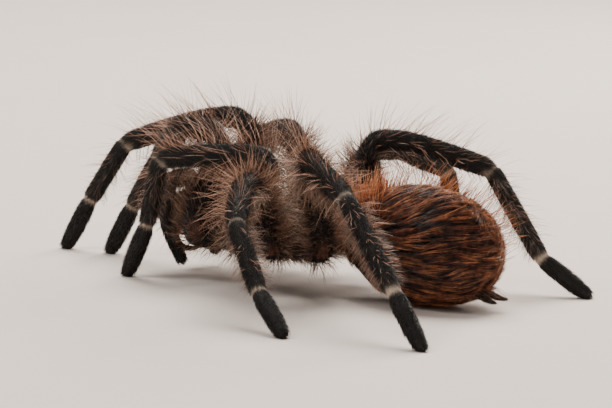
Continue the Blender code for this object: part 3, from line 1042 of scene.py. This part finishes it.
# fine guard fuzz of the metatarsi: grey-pink, paler toward its tip
paleFuzz = hairMaterial(
    "paleFuzz",
    {"root": "3a2d26", "middle": "84695a", "tip": "c9ab98", "ring": "e8d3c2",
     "rootEnd": 0.05, "tipStart": 0.35, "dim": 0.6, "patch": 3.0},
    {"Roughness": 0.5, "IOR": 1.55},
)
# wet abdomen hair: rust red in shiny locks. A painted shade makes it nearly black at the roots and along
# each lock's edges, and its light orange tips are brightened past the hair's own colour as a painted
# highlight
wetRustShadeAndHighlight = hairMaterial(
    "wetRustShadeAndHighlight",
    {"root": "040101", "middle": "7e391e", "tip": "e79e6a", "ring": "b5653a",
     "rootEnd": 0.22, "tipStart": 0.38, "dim": 0.03, "patch": 1.0},
    {"Roughness": 0.36, "IOR": 1.5, "Coat Weight": 0.15, "Coat Roughness": 0.2},
)
# dry hair that stands up at the abdomen's front and round the mouth: bright orange
orangeHair = hairMaterial(
    "orangeHair",
    {"root": "54240f", "middle": "d87c45", "tip": "f8c598", "ring": "e8a468",
     "rootEnd": 0.1, "tipStart": 0.4, "dim": 0.6, "patch": 2.0},
    {"Roughness": 0.45, "IOR": 1.55},
)
# carapace and jaw hair: dark brown with a golden sheen at its tips
goldBrown = hairMaterial(
    "goldBrown",
    {"root": "150d09", "middle": "3a2619", "tip": "8e6842", "ring": "8e6842",
     "rootEnd": 0.1, "tipStart": 0.5, "dim": 0.4, "patch": 2.5},
    {"Roughness": 0.6, "IOR": 1.45},
)
# eyes: black lenses with a clear, sharp highlight
lensGloss = glossMaterial(
    "lensGloss",
    {"dark": "060507", "light": "17131a", "cloud": 0.4, "relief": 0.15, "depth": 0.02},
    {"Roughness": 0.06, "IOR": 1.52, "Coat Weight": 1.0, "Coat Roughness": 0.03},
)
# fangs and claws: black-red horn with a soft highlight
fangChitin = glossMaterial(
    "fangChitin",
    {"dark": "080404", "light": "2a0f0a", "cloud": 1.5, "relief": 0.15, "depth": 0.02},
    {"Roughness": 0.27, "IOR": 1.5, "Coat Weight": 0.2, "Coat Roughness": 0.15},
)

storeValues(skinMesh, "pale", np.clip(pale, 0, 1))
storeValues(skinMesh, "flush", flush * ringPlan["flushShare"])
storeValues(skinMesh, "rustAndShade", rustAndShade)
skinUv = skinMesh.uv_layers.new(name="OFBake")
skinUv.data.foreach_set("uv", skinPlaces.astype(np.float32).ravel())
skinMesh.shade_smooth()
fleshNodes = [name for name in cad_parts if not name.startswith(("fang", "eye"))]
finishPiece("skin", skinMesh, blackCuticle, fleshNodes)
print("skin made")

# coats: where each grows and how long it is there. Weight is the share of its density, reach is in mm, and
# the steps and bumps are in joint counts, degrees round the limb or mm from the trunk's own axis
legsOf = {
    "frontLeft": ("leg1_L", "leg2_L", "palp_L"),
    "backLeft": ("leg3_L", "leg4_L"),
    "frontRight": ("leg1_R", "leg2_R", "palp_R"),
    "backRight": ("leg3_R", "leg4_R"),
}
barerLegs = among("leg1_R", "leg3_R", "leg4_R")  # short hair on their sides, thin fringes below


def byJoint(*pairs):
    # value along every limb from (joint count, value) pairs
    return np.interp(joint, *zip(*pairs))


def growOnLegs(name, weight, reach, strand, material, settings):
    for place, names in legsOf.items():
        growCoat(f"{name}_{place}", weight * among(*names), reach, strand, material, settings)


# velvet all over legs and palps, shorter at the rings
velvet = {
    "Density": 15.0, "Seed": 11, "Width": 0.058, "Root Lift": 20.0, "Tip Lift": 20.0, "Lift Spread": 9.0,
    "Length Spread": 0.3, "Angle Spread": 14.0,
}
reach = byJoint(
    (0, 1.2), (1, 1.2), (1.6, 1.5), (2.2, 1.25), (3, 1.1), (3.6, 1.15), (4.2, 1.0), (4.8, 1.0), (5.2, 1.2),
    (6.0, 1.15),
)
reach *= np.where(onPalp, 0.8, 1.0) * (1 - 0.25 * (bump(joint, 4.0, 0.03) + bump(joint, 5.0, 0.05)))
growOnLegs("velvet", joint > 0.15, reach, "stub", legVelvet, velvet)

# bristles, longest over patella and tibia, fewer near the trunk and none on the feet
bristles = {
    "Density": 1.25, "Seed": 23, "Width": 0.038, "Root Lift": 68.0, "Tip Lift": 48.0, "Lift Spread": 14.0,
    "Length Spread": 0.45, "Angle Spread": 24.0, "Curl": 0.12, "Curl Turns": 0.7,
}
weight = byJoint(
    (0.2, 0.7), (1.2, 0.5), (1.8, 0.6), (2.1, 1), (3.0, 1), (3.9, 0.8), (4.0, 0.2), (4.15, 0.7), (4.8, 0.5),
    (4.95, 0),
)
weight *= np.interp(around, (0, 45, 80, 125), (1, 0.85, 0.5, 0)) * (joint > 0.2)
reach = byJoint((0.2, 2.4), (1.5, 4.5), (2.2, 7.0), (3, 7.5), (3.8, 6.0), (4.2, 4.5), (4.9, 3.0))
reach *= np.where(barerLegs, 0.5 + 0.5 * fallOff(around, 35, 70), 1.0) * np.where(onPalp, 0.5, 1.0)
growOnLegs("bristles", weight, reach, "bristle", tanBristle, bristles)

# curly fringe under the legs
fringe = {
    "Density": 3.9, "Seed": 37, "Width": 0.048, "Root Lift": 58.0, "Tip Lift": 34.0, "Lift Spread": 16.0,
    "Length Spread": 0.35, "Angle Spread": 34.0, "Curl": 0.4, "Curl Turns": 1.2, "Droop": 0.2,
    "Clump Density": 1.6, "Clump Pull": 0.4,
}
below = np.where(barerLegs, 0.5 * smoothStep(around, 122, 150), smoothStep(around, 106, 140))
below = np.where(among("leg3_L", "leg4_L"), smoothStep(around, 88, 130), below)
weight = byJoint(
    (0.2, 0.5), (0.6, 1), (1.1, 1), (1.9, 1), (2.1, 1), (3.0, 1), (3.8, 0.8), (3.97, 0.2), (4.1, 0.3),
    (4.9, 0.2),
)
weight *= below * ((joint > 0.2) & (joint < 4.93))
reach = byJoint(
    (0.2, 3.0), (1.0, 4.2), (1.6, 4.8), (2.1, 4.6), (3, 4.4), (3.8, 3.4), (4.2, 2.4), (4.9, 1.6),
)
reach *= np.where(among("leg4_L"), 1 + 0.5 * bump(joint, 2.5, 0.8), 1.0)
reach *= np.where(among("leg4_R"), 0.6, 1.0) * np.where(onPalp, 0.85, 1.0)
growOnLegs("fringe", weight, reach, "bristle", tanFringe, fringe)

# fine pale fuzz standing out on both sides of the metatarsi, thickest on the hind legs
shinFuzz = {
    "Density": 4.8, "Seed": 97, "Width": 0.032, "Root Lift": 66.0, "Tip Lift": 46.0, "Lift Spread": 14.0,
    "Length Spread": 0.35, "Angle Spread": 26.0, "Curl": 0.15, "Curl Turns": 0.8,
}
hindLegs = among("leg3_L", "leg4_L", "leg3_R", "leg4_R")
weight = smoothStep(joint, 4.0, 4.2) * fallOff(joint, 4.86, 4.98) * smoothStep(around, 30, 75)
weight *= onLeg * np.where(hindLegs, 1.0, 0.35)
reach = byJoint((4.0, 3.4), (4.3, 3.2), (4.9, 2.2))
growCoat("shinFuzz", weight, reach, "bristle", paleFuzz, shinFuzz)

# long soft hair on the backs and sides of the thighs, and a little on the coxae
thighHair = {
    "Density": 5.4, "Seed": 83, "Width": 0.058, "Root Lift": 68.0, "Tip Lift": 50.0, "Lift Spread": 18.0,
    "Length Spread": 0.4, "Angle Spread": 40.0, "Curl": 0.3, "Curl Turns": 1.0,
    "Clump Density": 1.4, "Clump Pull": 0.35,
}
weight = fallOff(around, 100, 150) * ((joint > 0.1) & (joint < 1.95))
weight *= 0.2 + 0.8 * smoothStep(joint, 0.8, 1.1)
weight *= np.where(among("leg4_R", "leg1_L"), 0.4, 1.0) * np.where(onPalp, 0.15, 1.0)
reach = byJoint((0.1, 2.4), (1.0, 4.6), (1.4, 5.2), (1.9, 4.4)) * np.where(onPalp, 0.6, 1.0)
growCoat("thighHair", weight, reach, "bristle", tanFringe, thighHair)

# wet locks that lie back over the abdomen, shorter at its front
locks = {
    "Density": 8.5, "Seed": 5, "Width": 0.065, "Root Lift": 8.0, "Tip Lift": 2.0, "Lift Spread": 1.5,
    "Length Spread": 0.2, "Angle Spread": 3.0, "Clump Density": 0.55, "Clump Pull": 0.96, "Clump Reach": 0.5,
    "Clump Tone": 0.5, "Edge Shade": 0.9, "Follow": 1.0, "Loft": 0.5, "Curl": 0.26, "Curl Turns": 0.7,
}
onTop = localZ > 15.5
abdomenParts = {"top": onTop, "left": ~onTop & (localX >= 0), "right": ~onTop & (localX < 0)}
reach = 7.5 - 2.5 * fallOff(localY, 14.0, 24.0)
for place, chosen in abdomenParts.items():
    growCoat(f"locks_{place}", onAbdomen & chosen, reach, "lock", wetRustShadeAndHighlight, locks)

# dry orange hair that stands up over the abdomen's front, along a ridge and, thinly, on its top
orangeTufts = {
    "Density": 3.0, "Seed": 41, "Width": 0.062, "Root Lift": 68.0, "Tip Lift": 40.0, "Lift Spread": 14.0,
    "Length Spread": 0.35, "Angle Spread": 24.0, "Curl": 0.14, "Curl Turns": 0.6,
    "Clump Density": 0.9, "Clump Pull": 0.3,
}
weight = fallOff(localY, 17.0, 27.0) * smoothStep(localZ, 9.0, 17.0) + 0.05 * smoothStep(localZ, 17.0, 21.0)
weight += 0.4 * bump(localX, -3.5, 3.0) * smoothStep(localY, 24.0, 31.0) * smoothStep(localZ, 9.0, 15.0)
growCoat("orangeTufts", onAbdomen * np.clip(weight, 0, 1), 6.0, "bristle", orangeHair, orangeTufts)

# carapace: short hair that rays out and lies flat, longer on its rim
carapaceHair = {
    "Density": 11.5, "Seed": 53, "Width": 0.062, "Root Lift": 16.0, "Tip Lift": 6.0, "Lift Spread": 8.0,
    "Length Spread": 0.3, "Angle Spread": 16.0, "Clump Density": 1.2, "Clump Pull": 0.35, "Follow": 0.6,
}
reach = 1.8 + 1.6 * fallOff(localZ, 13.2, 14.6)
growCoat("carapaceHair", onCarapace & (localZ > 12.4), reach, "short", goldBrown, carapaceHair)

# long curly hair round the carapace's rim, reaching over the coxae
rimHair = {
    "Density": 3.2, "Seed": 79, "Width": 0.046, "Root Lift": 44.0, "Tip Lift": 20.0, "Lift Spread": 18.0,
    "Length Spread": 0.4, "Angle Spread": 34.0, "Curl": 0.35, "Curl Turns": 1.1, "Droop": 0.1,
    "Clump Density": 1.2, "Clump Pull": 0.45,
}
weight = onCarapace * fallOff(localZ, 14.8, 16.4) * smoothStep(localZ, 11.6, 12.6)
growCoat("rimHair", weight, 4.2, "bristle", goldBrown, rimHair)

# jaws: fine dark hair, and an orange-red brush over the mouth
jawHair = {
    "Density": 11.0, "Seed": 59, "Width": 0.058, "Root Lift": 16.0, "Tip Lift": 8.0, "Lift Spread": 8.0,
    "Length Spread": 0.3, "Angle Spread": 14.0, "Follow": 0.6,
}
growCoat("jawHair", onJaw & (localY < -14.5), 1.5, "short", goldBrown, jawHair)

mouthBrush = {
    "Density": 9.0, "Seed": 61, "Width": 0.05, "Root Lift": 55.0, "Tip Lift": 30.0, "Lift Spread": 14.0,
    "Length Spread": 0.3, "Angle Spread": 24.0, "Curl": 0.15, "Curl Turns": 0.8,
}
weight = onJaw * fallOff(localZ, 9.2, 11.0) * fallOff(localY, -18.0, -15.0)
growCoat("mouthBrush", weight, 2.6, "bristle", orangeHair, mouthBrush)

# underside of the trunk: long soft brown hair
undersideHair = {
    "Density": 7.0, "Seed": 67, "Width": 0.06, "Root Lift": 40.0, "Tip Lift": 18.0, "Lift Spread": 14.0,
    "Length Spread": 0.35, "Angle Spread": 24.0, "Curl": 0.25, "Curl Turns": 1.0,
    "Clump Density": 0.8, "Clump Pull": 0.35,
}
growCoat("undersideHair", onSternum | onPedicel, 3.0, "bristle", tanFringe, undersideHair)

spinneretHair = {
    "Density": 18.0, "Seed": 71, "Width": 0.035, "Root Lift": 30.0, "Tip Lift": 10.0, "Lift Spread": 8.0,
    "Length Spread": 0.3, "Angle Spread": 14.0,
}
growCoat("spinneretHair", onSpinneret, 0.6, "short", tanFringe, spinneretHair)

for helper in (*strands.values(), bodySurface):
    bpy.data.objects.remove(helper)
print("coat", sum(coatTriangles.values()), "triangles")

# eyes: eight lenses in two rows on the mound
eyePlan = {
    "centre": (0, -9.9, 18.3),
    "spots": (  # x, y, z from the centre and radius
        (0.55, -0.30, 0.72, 0.36),
        (1.25, -0.55, 0.40, 0.30),
        (1.30, 0.35, 0.42, 0.26),
        (0.80, 0.40, 0.62, 0.22),
    ),
    "segments": 24,
    "rows": 16,
}
eyeBalls = []
for x, y, z, radius in eyePlan["spots"]:
    for sign in (1, -1):
        spot = Vector(eyePlan["centre"]) + Vector((sign * x, y, z))
        eyeBalls.append(ball(ellipsoid(spot, (radius, radius, radius)), eyePlan["segments"], eyePlan["rows"]))
finishPiece("eyes", makeMesh("eyes", *joined(eyeBalls)), lensGloss, ("eye_turret",))

# fangs: two horns that fold back under the jaws
fangPlan = {
    "path": (  # x, y, z and radius
        (3.0, -22.4, 10.6, 1.05),
        (3.05, -23.1, 8.8, 1.1),
        (3.1, -23.2, 7.2, 1.02),
        (3.1, -22.6, 5.8, 0.9),
        (3.0, -20.9, 5.0, 0.7),
        (2.9, -18.7, 5.1, 0.45),
        (2.8, -16.6, 5.9, 0.08),
    ),
    "sides": 20,
    "step": 0.2,
}
fangShapes = [hornTube(fangPlan["path"], sign, fangPlan["sides"], fangPlan["step"]) for sign in (1, -1)]
finishPiece("fangs", makeMesh("fangs", *joined(fangShapes)), fangChitin, ("fang_L", "fang_R"))

clawPlan = {
    "length": 0.95,
    "radius": 0.13,
    "tipRadius": 0.01,
    "apart": 0.35,
    "arch": 1.9,  # radians that a claw turns through
    "archHeight": 0.5,
    "archMiddle": 0.4,  # cosine at which it is level with its root
    "rootsApart": 0.6,  # share of the gap that the pair has at its roots
    "rise": 0.25,  # of its root over the foot's middle
    "floorGap": 0.12,
    "samples": 9,
    "sides": 8,
}


def clawShapes():
    # two hooks at the end of every foot, arching forward and down
    plan = clawPlan
    run = np.linspace(0, 1, plan["samples"])[:, None]
    shapes = []
    for name, path in limbs.items():
        if not name.startswith("leg"):
            continue
        tip, ahead, up = path["place"][-1], path["tangent"][-1], path["back"][-1]
        beside = np.cross(ahead, up)
        bend = run * plan["arch"]
        arch = ahead * np.sin(bend) * plan["length"]
        arch += up * (np.cos(bend) - plan["archMiddle"]) * plan["archHeight"]
        apart = plan["apart"] * (plan["rootsApart"] + (1 - plan["rootsApart"]) * run)
        for sign in (1, -1):
            place = tip + up * plan["rise"] + beside * sign * apart + arch
            place[:, 2] = np.maximum(place[:, 2], plan["floorGap"])
            tangent = unit(np.gradient(place, axis=0))
            back = unit(np.cross(tangent, beside))
            radius = plan["radius"] * (1 - run[:, 0]) ** 0.7 + plan["tipRadius"]
            shapes.append(tube(place, tangent, back, radius, plan["sides"]))
    return shapes


finishPiece("claws", makeMesh("claws", *joined(clawShapes())), fangChitin)
print("eyes, fangs and claws made")

# floor, light and camera, in metres
floorPlan = {"radius": 9.0, "points": 96, "dark": "d9cec6", "light": "e2d9d2", "cloudScale": 6.0}


def makeFloor():
    made, tree, shader = principled("palePlaster", {"Roughness": 0.85})
    put = partial(addNode, tree)
    here = put("ShaderNodeTexCoord").outputs["Object"]
    cloud = put("ShaderNodeTexNoise", {"Vector": here, "Scale": floorPlan["cloudScale"], "Detail": 3.0})
    shade = {0: cloud, 6: linear(floorPlan["dark"]), 7: linear(floorPlan["light"])}
    shade = put("ShaderNodeMix", shade, data_type="RGBA")
    tree.links.new(shade.outputs[2], shader.inputs["Base Color"])
    count = floorPlan["points"]
    rim = [direction(360 * k / count, 0) * floorPlan["radius"] for k in range(count)]
    mesh = makeMesh("floor", rim, [range(count)])
    mesh.materials.append(made)
    makeObject("floor", mesh)


makeFloor()

# azimuth from the camera's own, elevation, distance, size, watts, colour
lights = {
    "softSky": (170, 68, 0.9, 0.7, 15.0, "fff8f0"),
    "keySide": (-50, 48, 0.9, 0.35, 4.0, "fffaf5"),
    "rimBack": (150, 26, 0.8, 0.3, 4.5, "fff2e6"),
}
lightTarget = Vector((0, 0, 0.012))
skyPlan = {"colour": "ece4de", "strength": 0.36}
cameraPlan = {
    "azimuth": 115.12,
    "elevation": 8.6,
    "roll": 3.57,
    "distance": 0.7501,
    "target": (0.0, 0.00443, 0.01707),
    "focal": 221.2,
    "sensor": 36.0,
}

for name, (azimuth, elevation, distance, size, watts, colour) in lights.items():
    lamp = bpy.data.lights.new(name, "AREA")
    lamp.shape = "DISK"
    lamp.size = size
    lamp.energy = watts
    lamp.color = linear(colour)[:3]
    outward = direction(cameraPlan["azimuth"] + azimuth, elevation)
    placed = makeObject(name, lamp)
    placed.location = lightTarget + outward * distance
    placed.rotation_euler = (-outward).to_track_quat("-Z", "Y").to_euler()

world = bpy.data.worlds.new("paleStudio")
world.use_nodes = True
sky = world.node_tree.nodes["Background"]
sky.inputs[0].default_value = linear(skyPlan["colour"])
sky.inputs[1].default_value = skyPlan["strength"]
bpy.context.scene.world = world

turn, roll = math.radians(cameraPlan["azimuth"]), math.radians(cameraPlan["roll"])
outward = direction(cameraPlan["azimuth"], cameraPlan["elevation"])
right = Vector((math.cos(turn), math.sin(turn), 0))
above = outward.cross(right)
axisX = right * math.cos(roll) + above * math.sin(roll)
axisY = above * math.cos(roll) - right * math.sin(roll)
place = Vector(cameraPlan["target"]) + outward * cameraPlan["distance"]
cameraData = bpy.data.cameras.new("camera")
cameraData.lens = cameraPlan["focal"]
cameraData.sensor_width = cameraPlan["sensor"]
cameraData.clip_start = 0.01
cameraData.clip_end = 50.0
camera = makeObject("camera", cameraData)
camera.matrix_world = Matrix((
    (axisX.x, axisY.x, outward.x, place.x),
    (axisX.y, axisY.y, outward.y, place.y),
    (axisX.z, axisY.z, outward.z, place.z),
    (0, 0, 0, 1),
))
bpy.context.scene.camera = camera
print("floor, lights and camera placed")
